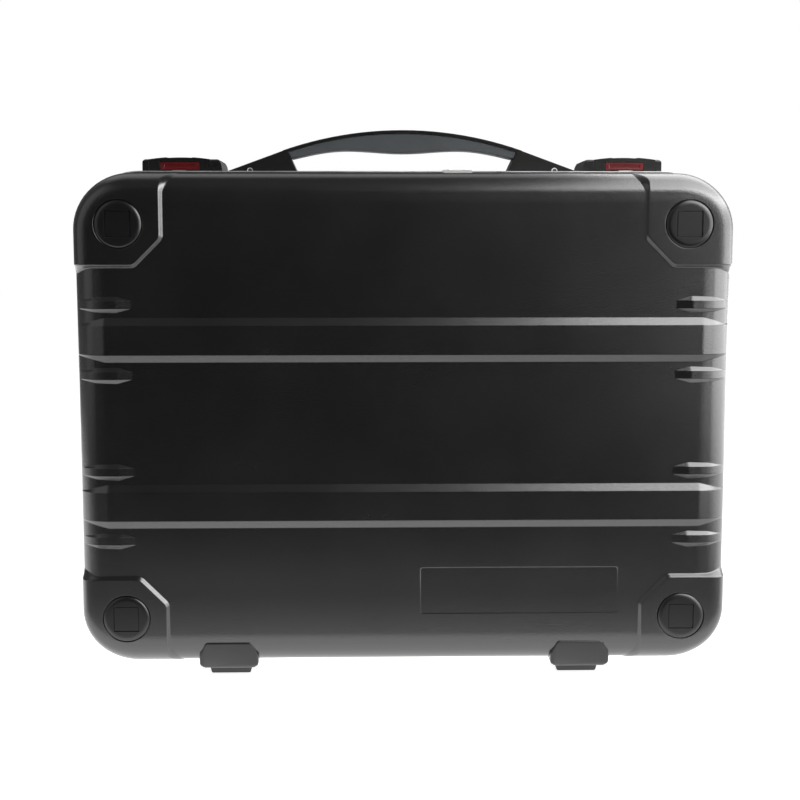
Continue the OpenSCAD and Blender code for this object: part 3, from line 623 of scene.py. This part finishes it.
WEAR_R = 0.0007                   # width of worn edges
WEAR_LEAN = (0.995, 0.90)         # cosines of the lean where wear starts and is full


def edges(tree):
    """1 on outer edges and corners, 0 on flats."""
    bevel = add(tree, "ShaderNodeBevel", {"Radius": WEAR_R}, samples=4)
    geo = add(tree, "ShaderNodeNewGeometry")
    dot = add(tree, "ShaderNodeVectorMath", {0: bevel.outputs[0], 1: geo.outputs["Normal"]},
              operation="DOT_PRODUCT").outputs["Value"]
    return spread(tree, dot, *WEAR_LEAN, 0.0, 1.0)


def bump(tree, shader, layers):
    """Bumps laid on each other: (height, strength, distance)."""
    last = None
    for height, strength, distance in layers:
        ins = {"Height": height, "Strength": strength, "Distance": distance}
        if last is not None:
            ins["Normal"] = last
        last = add(tree, "ShaderNodeBump", ins).outputs[0]
    tree.links.new(last, shader.inputs["Normal"])


CLOUDS, PATCHES = 16.0, 120.0     # scales of the broad and the fine mottling of plastic
METAL_CLOUDS = 60.0
GRAIN_DEEP, SCRATCH_DEEP = 0.00025, 0.0001


def moulded(name, colour, rough, grain, grain_size, worn, specular):
    """Moulded plastic or rubber: fine grain, soft mottling, paler worn edges."""
    m, t, b = new_material(name)
    at = coords(t)
    cloud = noise(t, at, CLOUDS, 3.0)
    patch = noise(t, at, PATCHES, 4.0, 0.6)
    fine = noise(t, at, grain_size, 2.0, 0.6)
    light = [min(1.0, c*1.45 + 0.003) for c in colour]
    dark = [c*0.78 for c in colour]
    rubbed = [min(1.0, c*2.4 + 0.02) for c in colour]
    base = mix(t, spread(t, cloud, 0.35, 0.65, 0.0, 1.0), dark, colour)
    base = mix(t, spread(t, patch, 0.55, 0.8, 0.0, 0.35), base, light)
    rim = maths(t, "MULTIPLY", edges(t), spread(t, patch, 0.3, 0.7, 0.35, 1.0))
    base = mix(t, maths(t, "MULTIPLY", rim, worn), base, rubbed)
    t.links.new(base, b.inputs["Base Color"])
    r = spread(t, patch, 0.2, 0.8, rough - 0.005, rough + 0.005)
    r = maths(t, "ADD", r, spread(t, cloud, 0.3, 0.7, -0.01, 0.012), True)
    t.links.new(r, b.inputs["Roughness"])
    b.inputs["Specular IOR Level"].default_value = specular
    bump(t, b, [(fine, grain, GRAIN_DEEP)])
    return m


def metal(name, colour, rough, stretch, scratch, grain_size=500.0, metallic=1.0):
    """Metal with a drawn or mottled surface; stretch below 1 runs the grain along that axis."""
    m, t, b = new_material(name)
    drawn = noise(t, coords(t, stretch), grain_size, 3.0, 0.6)
    cloud = noise(t, coords(t), METAL_CLOUDS, 3.0)
    base = mix(t, spread(t, cloud, 0.3, 0.7, 0.0, 1.0), [c*0.9 for c in colour], colour)
    base = mix(t, spread(t, drawn, 0.4, 0.7, 0.0, 0.35), base, [c*0.78 for c in colour])
    t.links.new(base, b.inputs["Base Color"])
    r = maths(t, "ADD", spread(t, drawn, 0.3, 0.7, rough - 0.06, rough + 0.08),
              spread(t, cloud, 0.3, 0.7, -0.03, 0.04), True)
    t.links.new(r, b.inputs["Roughness"])
    b.inputs["Metallic"].default_value = metallic
    bump(t, b, [(drawn, scratch, SCRATCH_DEEP)])
    return m


def ringed_rivet():
    """Tubular rivets of the handle: a pale turned rim round a hollow that is painted dark as its
    shade.
    """
    low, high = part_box("handle_rivets")
    r, z = (high.z - low.z)/2, (high.z + low.z)/2
    m, t, b = new_material("ringed_rivet")
    at = coords(t)
    place = add(t, "ShaderNodeSeparateXYZ", {0: at})
    dx = maths(t, "SUBTRACT", maths(t, "ABSOLUTE", place.outputs["X"]), high.x - r)
    dz = maths(t, "SUBTRACT", place.outputs["Z"], z)
    square = maths(t, "ADD", maths(t, "MULTIPLY", dx, dx), maths(t, "MULTIPLY", dz, dz))
    out = maths(t, "SQRT", square)
    ring = spread(t, out, 0.6*r, 0.7*r, 0.0, 1.0)
    turned = noise(t, at, 900.0, 3.0)
    pale = mix(t, turned, (0.52, 0.52, 0.51), (0.66, 0.66, 0.65))
    # painted shade: the middle of each rivet is coloured near black and made less metallic,
    # standing for the shade in its hollow
    t.links.new(mix(t, ring, (0.02, 0.02, 0.02), pale), b.inputs["Base Color"])
    t.links.new(spread(t, ring, 0.0, 1.0, 0.1, 0.7), b.inputs["Metallic"])
    t.links.new(spread(t, turned, 0.3, 0.7, 0.32, 0.42), b.inputs["Roughness"])
    hollow = spread(t, out, 0.55*r, 0.8*r, 0.0, 1.0)
    bump(t, b, [(hollow, 0.8, 0.0006), (turned, 0.15, SCRATCH_DEEP)])
    return m


# name, colour, roughness, grain, its scale, wear, specular
SHELL = moulded("shell_plastic", (0.0050, 0.0049, 0.0048), 0.26, 0.36, 900.0, 0.5, 0.9)
BLOCK = moulded("block_plastic", (0.0056, 0.0055, 0.0053), 0.34, 0.4, 900.0, 0.5, 0.45)
MATERIALS = {
    "shell": SHELL,
    "rim": metal("rim_aluminium", (0.88, 0.88, 0.87), 0.34, (0.03, 1, 0.03), 0.12,
                 metallic=0.9),
    # this rubber also colours the dark lip that stands for the shadow gap at the shells' rims
    # (painted shade)
    "seal": moulded("seal_and_shadow_gap_rubber", (0.016, 0.016, 0.016), 0.65, 0.3, 1500.0, 0.2, 0.3),
    "pad": moulded("pad_rubber", (0.0046, 0.0046, 0.0052), 0.31, 0.2, 1300.0, 0.5, 0.5),
    "foot": moulded("foot_rubber", (0.0085, 0.0085, 0.0082), 0.5, 0.4, 1300.0, 0.3, 0.5),
    "hardware": moulded("hardware_plastic", (0.0072, 0.007, 0.0068), 0.28, 0.2, 1500.0, 0.5,
                        0.45),
    "steel": metal("zinc_steel", (0.27, 0.27, 0.265), 0.5, (1, 1, 1), 0.2, 350.0),
    "button": moulded("button_red", (0.13, 0.005, 0.007), 0.32, 0.12, 1500.0, 0.3, 0.4),
    "grip": moulded("grip_rubber", (0.052, 0.058, 0.063), 0.52, 0.35, 1400.0, 0.45, 0.4),
}


# ---------------------------------------------------------------- shells: the pieces
def finish_piece(obj, body, slot, *nodes):
    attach(obj, body)
    if nodes:
        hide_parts(*nodes)
    return obj


# foot blocks, seen from the front
BLOCK_X, BLOCK_W, BLOCK_TOP, BLOCK_R = 127.6, 42.8, 33.0, 4.4
BLOCK_UP, BLOCK_DROP, BLOCK_BEVEL = 14.2, 4.6, 9.0
BLOCK_OVER = 1.2                  # the top corners lie this much higher than the front's crest
BLOCK_TURN_SIDE, BLOCK_TURN_TOP = 4.0, 3.0
# and from the side
BLOCK_PROUD, BLOCK_SLOPE = 0.4, 2.4
BLOCK_TOE = 2                     # bevel along the lower edge
BLOCK_LEVEL = 1.2                 # below this height over the lower edge it goes no deeper
BLOCK_EDGE = 1.5                  # rounded front edge


def block_front(y, depth):
    """Height of the block's front over the parting plane, y from the shell's middle."""
    top, low = -CASE_H/2 + BLOCK_UP, -CASE_H/2 - BLOCK_DROP
    v_top = depth + BLOCK_PROUD
    return np.interp(y, [low, low + BLOCK_TOE, top],
                     [depth - BLOCK_SLOPE - BLOCK_TOE, v_top - BLOCK_SLOPE, v_top])


def foot_block(depth, x):
    """Points and faces of a foot block, open at the back."""
    low, top = -CASE_H/2 - BLOCK_DROP, -CASE_H/2 + BLOCK_UP
    w, w2 = BLOCK_W/2, BLOCK_TOP/2
    side, crest = top - BLOCK_BEVEL, top + BLOCK_OVER
    outline = rounded_outline([
        (w, low, BLOCK_R), (w, side, BLOCK_TURN_SIDE), (w2, crest, BLOCK_TURN_TOP),
        (-w2, crest, BLOCK_TURN_TOP), (-w, side, BLOCK_TURN_SIDE), (-w, low, BLOCK_R)], 7)
    pts = np.array([tuple(c) for c in outline])
    step = np.roll(pts, -1, 0) - np.roll(pts, 1, 0)
    step /= np.linalg.norm(step, axis=1, keepdims=True)
    inward = np.stack([-step[:, 1], step[:, 0]], -1)
    rows = [np.column_stack([pts, np.full(len(pts), RIM_V)])]
    for a in quarter(6):
        at = pts + inward*BLOCK_EDGE*(1 - math.cos(a))
        v = block_front(np.clip(at[:, 1], low + BLOCK_LEVEL, None), depth)
        rows.append(np.column_stack([at, v - BLOCK_EDGE*(1 - math.sin(a))]))
    n = len(pts)
    verts = np.vstack(rows)
    verts[:, 0] += x
    front = list(range((len(rows) - 1)*n, len(rows)*n))
    return verts, ring_faces(len(rows), n) + [front]


for side, depth, lid in SIDES:
    sheets = [shell_sheet(depth, lid), shell_sheet(depth, False, WALL), free_edge(depth)]
    skin = sheet_object(side + "_shell_skin", *join_sheets(sheets), lid, SHELL)
    finish_piece(skin, side, "shell", side + "_shell")
    for end, tag in ((-1, "left"), (1, "right")):
        verts, faces = foot_block(depth, end*BLOCK_X)
        block = solid_object("%s_foot_block_%s" % (side, tag), verts, faces, lid, BLOCK)
        finish_piece(block, side, "shell", side + "_shell")

# dark lip that closes the joint between a shell and its rim: painted shade, a dark piece put
# where the joint's shadow gap is
LIP_OUT, LIP_V, LIP_UNDER = 2.3, 0.9, 0.3


def shell_lip(depth):
    """Points and faces of the lip: a quarter of an ellipse, run round the shell."""
    row = np.array(Net().outline(ARC + depth - EDGE_R - RIM_V))
    profile = [(LIP_OUT, -LIP_UNDER)]
    profile += [(LIP_OUT*math.cos(a), LIP_V*math.sin(a)) for a in quarter(8)]
    verts = [lay(row[:, 0], row[:, 1], depth, False, TINY - off) + np.array([0, 0, dv])
             for off, dv in profile]
    return np.vstack(verts), ring_faces(len(profile), len(row))


for side, depth, lid in SIDES:
    # painted shade: the lip's dark rubber stands for the shadow gap between shell and rim
    lip = solid_object(side + "_shell_lip", *shell_lip(depth), lid, MATERIALS["seal"])
    finish_piece(lip, side, "seal")

# rubber corner pads: a rounded shoulder and a bare square recess
PAD_OUT, PAD_TOP = 16.5, PAD_FLOOR + 3.4
PAD_SHOULDER, PAD_ROUND = 3.5, 1.5
MARK, MARK_R, MARK_DEEP, MARK_RAMP = 18.4, 0.8, 0.5, 0.08
MARK_GROOVE, MARK_IN = 0.6, MARK - 1.4   # along its edge, outside MARK_IN, it is deeper


def pad_verts(cx, cy, depth):
    """Points and faces of one corner pad."""
    net = Net()
    net.line(circle(0, 0, PAD_OUT - PAD_SHOULDER), True)
    recess_lines(net, 0, 0, MARK, MARK, MARK_R, MARK_RAMP)
    recess_lines(net, 0, 0, MARK_IN, MARK_IN, MARK_R, MARK_RAMP)
    uv, tris = net.triangles()
    x, y = uv[:, 0], uv[:, 1]
    down = recess(x, y, MARK, MARK, MARK_R, MARK_DEEP + MARK_GROOVE, MARK_RAMP) \
        - recess(x, y, MARK_IN, MARK_IN, MARK_R, MARK_GROOVE, MARK_RAMP)
    verts = [(cx + x, cy + y, depth + PAD_TOP - d) for (x, y), d in zip(uv, down)]
    faces = [tuple(int(i) for i in f) for f in tris]
    rows = [(PAD_OUT - PAD_SHOULDER*(1 - math.cos(a)), PAD_TOP - PAD_ROUND*(1 - math.sin(a)))
            for a in reversed(quarter(8))] + [(PAD_OUT, PAD_FLOOR)]
    first = len(verts)
    for r, v in rows:
        verts += [(x, y, depth + v) for x, y in circle(cx, cy, r)]
    faces += [tuple(first + i for i in f) for f in ring_faces(len(rows), CIRCLE_STEPS)]
    faces.append(tuple(range(len(verts) - CIRCLE_STEPS, len(verts))))
    return verts, faces


for side, depth, lid in SIDES:
    verts, faces = [], []
    for cx, cy in PADS:
        v, f = pad_verts(cx, cy, depth)
        faces += [tuple(len(verts) + i for i in one) for one in f]
        verts += v
    pads = solid_object(side + "_pads_round", verts, faces, lid, MATERIALS["pad"], 32)
    finish_piece(pads, side, "pad", side + "_pads")

# flat bed on the base's top for the latches and the handle
LEDGE_X, LEDGE_H, LEDGE_EDGE = 203.0, 1.0, 0.5
LEDGE_END, LEDGE_R = BASE_D - 19.7, 5.0
LEDGE_MID = 40                    # points further back than this belong to its rear end
LEDGE_ROWS = ((3.0, -4.0), (0.0, LEDGE_H - LEDGE_EDGE), (-0.15, LEDGE_H - 0.15),
              (-LEDGE_EDGE, LEDGE_H))   # how far out each row lies, and how high


def base_ledge():
    """Points and faces of the bed, with a narrow bevel on top."""
    bed = rounded_outline([(-LEDGE_X, RIM_V, 0), (LEDGE_X, RIM_V, 0),
                           (LEDGE_X, LEDGE_END, LEDGE_R), (-LEDGE_X, LEDGE_END, LEDGE_R)])
    verts = [(c.x + math.copysign(grow, c.x), CASE_H/2 + y,
              c.y + (grow if c.y > LEDGE_MID else 0)) for grow, y in LEDGE_ROWS for c in bed]
    n, rows = len(bed), len(LEDGE_ROWS)
    return verts, ring_faces(rows, n) + [list(range((rows - 1)*n, rows*n))]


finish_piece(solid_object("base_ledge", *base_ledge(), False, SHELL), "base", "shell",
             "base_shell")


# ---------------------------------------------------------------- hardware with softened edges
SLOTS = {s["node"]: s["material_slot"] for s in frame["record"]["subparts"]}
BODY_OF = {n: b for b, ns in frame["record"]["behaviour"]["bodies"].items() for n in ns}
SOFT = {                          # width of the rounding
    "latch_plate_left": 0.6, "latch_plate_right": 0.6,
    "latch_lever_left": 0.4, "latch_lever_right": 0.4,
    "latch_button_left": 0.35, "latch_button_right": 0.35,
    "handle_frame": 0.5, "handle_grip": 2.2, "handle_brackets": 0.4,
    "lid_feet": 0.5, "base_feet": 0.5, "hinge_lid_leaves": 0.3, "hinge_base_leaves": 0.3,
    "lid_rim_clip": 0.2, "base_rim_clip": 0.2, "strikes": 0.2,
    "latch_claw_left": 0.2, "latch_claw_right": 0.2,
}
SOFT_ANGLE, SHARP_ANGLE = 32, 37  # edges over these are rounded, and shaded as sharp
FLAT_ANGLE = 0.6                  # faces that turn by less become one


def soften(node, body, slot, width):
    """A copy of a CAD node with its sharp edges rounded."""
    mesh = frame["nodes"][node].data.copy()
    mesh.name = node + "_soft"
    for attr in ("custom_normal", "sharp_edge", "sharp_face"):
        if attr in mesh.attributes:
            mesh.attributes.remove(mesh.attributes[attr])
    bm = bmesh.new()
    bm.from_mesh(mesh)
    bmesh.ops.remove_doubles(bm, verts=bm.verts, dist=MERGE)
    bmesh.ops.dissolve_limit(bm, angle_limit=math.radians(FLAT_ANGLE), verts=bm.verts,
                             edges=bm.edges)
    sharp = [e for e in bm.edges if len(e.link_faces) == 2
             and abs(e.calc_face_angle(0)) > math.radians(SOFT_ANGLE)]
    bmesh.ops.bevel(bm, geom=sharp, offset=width*MM, offset_type="OFFSET", segments=2,
                    profile=0.5, affect="EDGES", clamp_overlap=True)
    finish_bmesh(bm, mesh, SHARP_ANGLE)
    mesh.materials.clear()
    mesh.materials.append(MATERIALS[slot])
    obj = new_object(mesh.name, mesh)
    weigh = obj.modifiers.new("even_shading", "WEIGHTED_NORMAL")
    weigh.keep_sharp = True
    return finish_piece(obj, body, slot, node)


for node, width in SOFT.items():
    soften(node, BODY_OF[node], SLOTS[node], width)
for node, obj in frame["nodes"].items():
    if node in SOFT or node.endswith("_shell") or node.endswith("_pads"):
        continue
    obj.data.materials.clear()
    obj.data.materials.append(MATERIALS[SLOTS[node]])
frame["nodes"]["handle_rivets"].data.materials[0] = ringed_rivet()

# ---------------------------------------------------------------- stage and light
WHITE = (1, 1, 1, 1)
# the cloth's own white colours, and the near black it is painted as shade where it does not glow
CLOTH_WHITE, CLOTH_PAINTED_SHADE = ((0.84, 0.84, 0.84), (0.88, 0.88, 0.88)), (0.03, 0.03, 0.03)
FRONT_DIM = 0.022                 # brightness of the dark front card and of the floor's painted shade
FLOOR_SIZE = (12, 12)
FLOOR_LEVEL, FLOOR_SEEN = 2.0, 0.88   # painted glow of the floor's pools of light, and the floor's glow as the camera sees it
# the floor glows with painted pools of light between these y, or beyond these x, by the share
# that follows
FLOOR_CLOSE, CLOSE_SHARE = (-0.105, -0.075), 1.0
FLOOR_NEAR, NEAR_SHARE = (-0.3, -0.23), 0.88
FLOOR_WIDE, WIDE_SHARE = (-0.45, -0.2), 0.3
FLOOR_RIGHT, RIGHT_SHARE = (0.8, 1.2), 2.0
CARDS = (                         # name, size, place, turn in degrees, brightness
    ("dark_front", (3.2, 2.6), (-0.65, -2.4, 1.3), (90, 0, 0), FRONT_DIM),
    ("low_strip", (1.6, 0.036), (0, -0.16, 0.018), (90, 0, 0), 0.6),
    ("dim_left", (2.4, 2.6), (-1.3, -1.7, 1.3), (90, 0, 90), 0.7),
    ("low_left", (1.7, 2.6), (-1.3, 0.35, 1.3), (90, 0, 90), 0.25),
    ("dim_back", (3.2, 2.4), (-1.2, 2.2, 1.25), (90, 0, 0), 0.12),
    ("dim_top", (4.0, 2.6), (-0.25, -1.1, 2.6), (0, 0, 0), 0.12),
)
SOFT_BOXES = (                    # name, size, place, aim, brightness
    ("right_box", (3.2, 1.5), (1.75, -0.7, 0.8), (0.2, -0.3, 0.45), 4.2),
    ("front_right_box", (1.8, 1.5), (1.67, -2.3, 1.8), (1.67, 0.0, 1.8), 3.0),
    ("top_front_box", (1.13, 0.75), (0.8, -0.575, 0.86), (0.8, -0.575, 0.0), 6.5),
    ("top_back_box", (1.13, 0.7), (0.8, 0.15, 0.86), (0.8, 0.15, 0.0), 5.0),
)
MATT_SHARE = 0.6                  # share of a soft box's light that matt surfaces get
ROOM_LEVEL, BACKDROP = 0.2, 1.0   # the world's light on matt surfaces, and as it is seen


def emptied(owner):
    """The node tree of a material or world, with nothing in it."""
    owner.use_nodes = True
    owner.node_tree.nodes.clear()
    return owner.node_tree


def card(name, size, at, turn, mat, seen=False):
    """A flat sheet of the studio; only the floor is seen by the camera."""
    mesh = bpy.data.meshes.new(name)
    w, h = size[0]/2, size[1]/2
    mesh.from_pydata([(-w, -h, 0), (w, -h, 0), (w, h, 0), (-w, h, 0)], [], [(0, 1, 2, 3)])
    obj = new_object(name, mesh)
    obj.location = at
    obj.rotation_euler = [math.radians(a) for a in turn]
    obj.visible_camera = seen
    mesh.materials.append(mat)


def white_floor(level, dim):
    """White cloth with painted light and shade: glowing pools round the case and at the right,
    painted dark further in front of it.
    The camera sees it all white, with the object's shadow."""
    m = bpy.data.materials.new("white_floor")
    t = emptied(m)
    path = add(t, "ShaderNodeLightPath")
    at = coords(t)
    place = add(t, "ShaderNodeSeparateXYZ", {0: at})
    close = spread(t, place.outputs["Y"], *FLOOR_CLOSE, 0.0, CLOSE_SHARE)
    near = spread(t, place.outputs["Y"], *FLOOR_NEAR, 0.0, NEAR_SHARE)
    wide = spread(t, place.outputs["Y"], *FLOOR_WIDE, 0.0, WIDE_SHARE)
    right = spread(t, place.outputs["X"], *FLOOR_RIGHT, 0.0, RIGHT_SHARE)
    # painted light: the zones where the floor glows and its cloth keeps its white colour;
    # elsewhere it is painted dark as shade
    painted_glow = maths(t, "MAXIMUM", maths(t, "MAXIMUM", near, wide), maths(t, "MAXIMUM", close, right))
    painted_glow = maths(t, "MAXIMUM", painted_glow, path.outputs["Is Camera Ray"])
    mottled = mix(t, noise(t, at, 3.0, 2.0), *CLOTH_WHITE)
    cloth = add(t, "ShaderNodeBsdfDiffuse",
                {"Color": mix(t, painted_glow, CLOTH_PAINTED_SHADE, mottled)}).outputs[0]
    power = spread(t, painted_glow, 0.0, RIGHT_SHARE, dim, RIGHT_SHARE*level)
    power = spread(t, path.outputs["Is Camera Ray"], 0.0, 1.0, power, FLOOR_SEEN)
    shine = add(t, "ShaderNodeEmission", {"Color": WHITE, "Strength": power}).outputs[0]
    both = add(t, "ShaderNodeAddShader", {0: cloth, 1: shine}).outputs[0]
    add(t, "ShaderNodeOutputMaterial", {"Surface": both})
    return m


def glowing(name, level):
    """A slightly uneven glow."""
    m = bpy.data.materials.new(name)
    t = emptied(m)
    patch = spread(t, noise(t, coords(t), 1.5), 0.3, 0.7, level*0.9, level*1.1)
    shine = add(t, "ShaderNodeEmission", {"Color": WHITE, "Strength": patch}).outputs[0]
    add(t, "ShaderNodeOutputMaterial", {"Surface": shine})
    return m


def soft_box(name, size, at, aim, level):
    """A rectangle as bright as level times a white surface in reflections; matt surfaces
    get MATT_SHARE of its light."""
    for kind, power in (("shine", level), ("fill", level*MATT_SHARE)):
        light = bpy.data.lights.new(name + "_" + kind, "AREA")
        light.shape = "RECTANGLE"
        light.size, light.size_y = size
        light.energy = power*math.pi*size[0]*size[1]
        obj = new_object(light.name, light)
        obj.location = at
        obj.rotation_euler = (Vector(aim) - Vector(at)).to_track_quat("-Z", "Y").to_euler()
        obj.visible_camera = False
        obj.visible_diffuse = kind == "fill"
        obj.visible_glossy = kind == "shine"


card("floor", FLOOR_SIZE, (0, 0, 0), (0, 0, 0), white_floor(FLOOR_LEVEL, FRONT_DIM), True)
for name, size, at, turn, level in CARDS:
    card(name, size, at, turn, glowing(name, level))
for box in SOFT_BOXES:
    soft_box(*box)

# white world for the camera and for gloss and glass, a plain dim one for matt surfaces
world = bpy.data.worlds.new("studio")
SCENE.world = world
t = emptied(world)
path = add(t, "ShaderNodeLightPath")
seen = maths(t, "ADD", path.outputs["Is Camera Ray"], path.outputs["Is Glossy Ray"], True)
seen = maths(t, "ADD", seen, path.outputs["Is Transmission Ray"], True)
room = add(t, "ShaderNodeBackground", {"Color": WHITE, "Strength": ROOM_LEVEL}).outputs[0]
white = add(t, "ShaderNodeBackground", {"Color": WHITE, "Strength": BACKDROP}).outputs[0]
both = add(t, "ShaderNodeMixShader", {0: seen, 1: room, 2: white}).outputs[0]
add(t, "ShaderNodeOutputWorld", {"Surface": both})

SCENE.view_settings.view_transform = "Standard"
